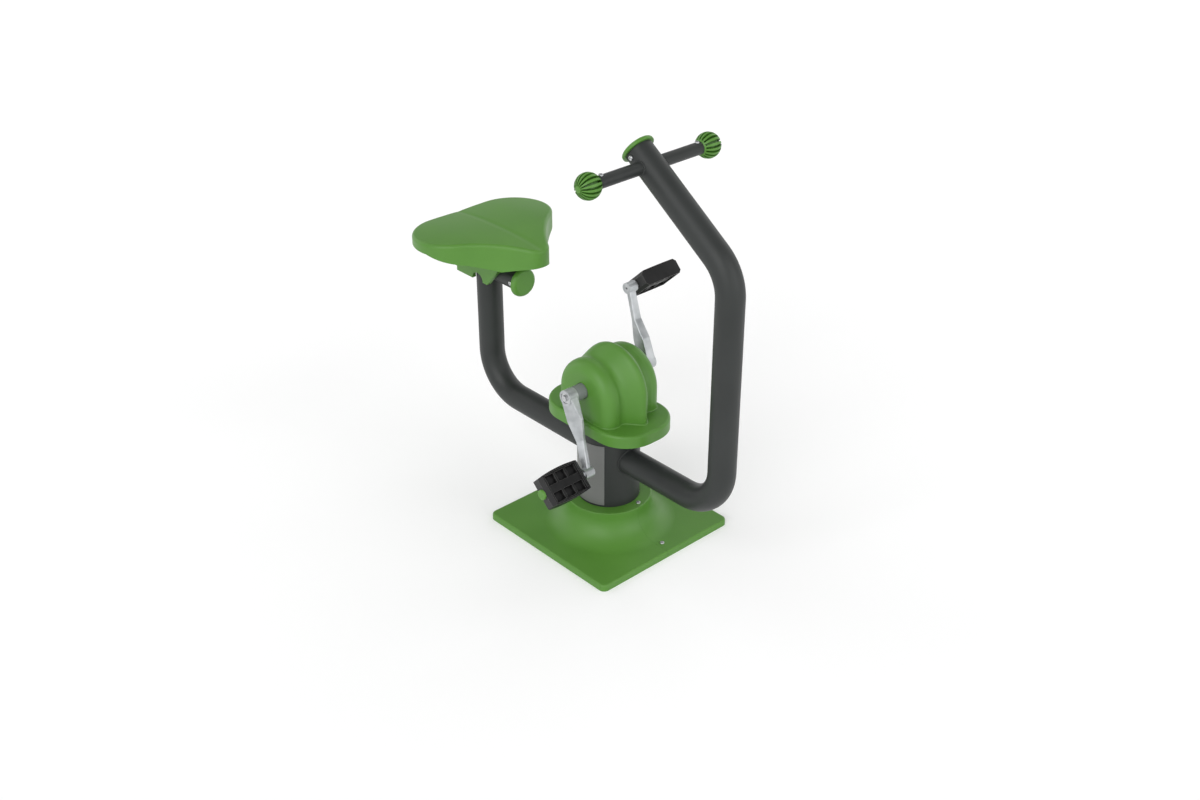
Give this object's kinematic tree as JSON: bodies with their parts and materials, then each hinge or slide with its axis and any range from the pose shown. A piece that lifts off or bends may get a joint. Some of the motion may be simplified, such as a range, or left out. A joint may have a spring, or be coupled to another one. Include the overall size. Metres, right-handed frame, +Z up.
{
  "type": "outdoor exercise bike",
  "caption": "Park exercise bike on a bolted base: fixed saddle on a bent tube, mast with handlebar and ball grips, domed drive housing, turning cranks and pedals.",
  "frame": {"origin": "on the ground, on the column's axis, at the centre of the anchor holes", "axes": "+X the way the rider faces, +Y the rider's left, +Z up"},
  "size_m": [1.1327, 0.658, 1.2112],
  "materials": {
    "green_plastic": "moulded, fine satin grain",
    "grey_tube": "dark grey powder coat",
    "steel": "zinc-plated steel",
    "fastener": "stainless",
    "sleeve_metal": "grey painted",
    "flywheel_iron": "cast",
    "crank_metal": "cast, silver grey",
    "pedal_plastic": "moulded, black",
    "bush_brass": "plain bearing metal",
    "plate_grey": "blank, matt"
  },
  "bodies": {
    "frame": {"base_cover_right": "green_plastic", "base_cover_left": "green_plastic", "housing_cover": "green_plastic", "saddle": "green_plastic", "saddle_cradle": "green_plastic", "support_cap_front": "green_plastic", "support_cap_rear": "green_plastic", "mast_cap": "green_plastic", "grip_ball_right": "green_plastic", "grip_ball_left": "green_plastic", "column_tube": "grey_tube", "seat_tube": "grey_tube", "mast_tube": "grey_tube", "crossbar": "grey_tube", "support_tube": "grey_tube", "base_flange": "steel", "head_plate": "steel", "bearing_bracket_right": "steel", "bearing_bracket_left": "steel", "bearing_right": "steel", "bearing_left": "steel", "base_cover_screws": "fastener", "tube_screws": "fastener", "saddle_screws": "fastener", "saddle_bolts": "fastener", "housing_screws": "fastener", "bracket_bolts": "fastener", "info_plate": "plate_grey"},
    "crank": {"spindle": "steel", "flywheel_key": "steel", "flywheel": "flywheel_iron", "spindle_sleeve_right": "sleeve_metal", "spindle_sleeve_left": "sleeve_metal", "crank_arm_right": "crank_metal", "crank_arm_left": "crank_metal", "crank_bolts": "fastener", "pedal_axle_right": "steel", "pedal_axle_left": "steel", "pedal_nuts": "fastener"},
    "pedal_right": {"pedal_body_right": "pedal_plastic", "pedal_bushes_right": "bush_brass", "pedal_cap_right": "green_plastic"},
    "pedal_left": {"pedal_body_left": "pedal_plastic", "pedal_bushes_left": "bush_brass", "pedal_cap_left": "green_plastic"}
  },
  "joints": [
    {"name": "crank_spin", "type": "hinge", "parent": "frame", "child": "crank", "pos_m": [0, 0, 0.4755], "axis": [0, 1, 0], "continuous": true},
    {"name": "pedal_right_spin", "type": "hinge", "parent": "crank", "child": "pedal_right", "pos_m": [0.08895, -0.251, 0.28031], "axis": [0, 1, 0], "continuous": true},
    {"name": "pedal_left_spin", "type": "hinge", "parent": "crank", "child": "pedal_left", "pos_m": [-0.08895, 0.251, 0.67069], "axis": [0, 1, 0], "continuous": true}
  ]
}
